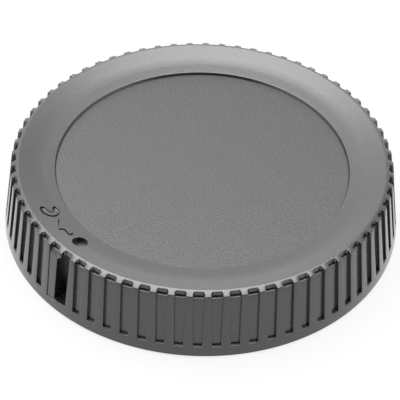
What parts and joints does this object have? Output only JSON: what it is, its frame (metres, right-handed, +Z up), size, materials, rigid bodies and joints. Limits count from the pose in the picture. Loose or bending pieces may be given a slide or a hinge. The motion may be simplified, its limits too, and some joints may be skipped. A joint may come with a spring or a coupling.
{
  "type": "rear lens cap",
  "caption": "Round rear lens cap with a grooved grip wall, a dished ring round a recessed disc, an index mark and inner bayonet lugs; it covers the mount end of a camera lens.",
  "frame": {"origin": "centre of the cap's mouth, on the plane that the foot rests on", "axes": "+Z up through the cap's closed face, -Y towards the viewer of the picture, +X to the viewer's right"},
  "size_m": [0.062, 0.062, 0.0119],
  "materials": {
    "cap_plastic": "satin moulded black plastic with a grained disc"
  },
  "bodies": {
    "root": {"lens_cap": "cap_plastic"}
  },
  "joints": []
}
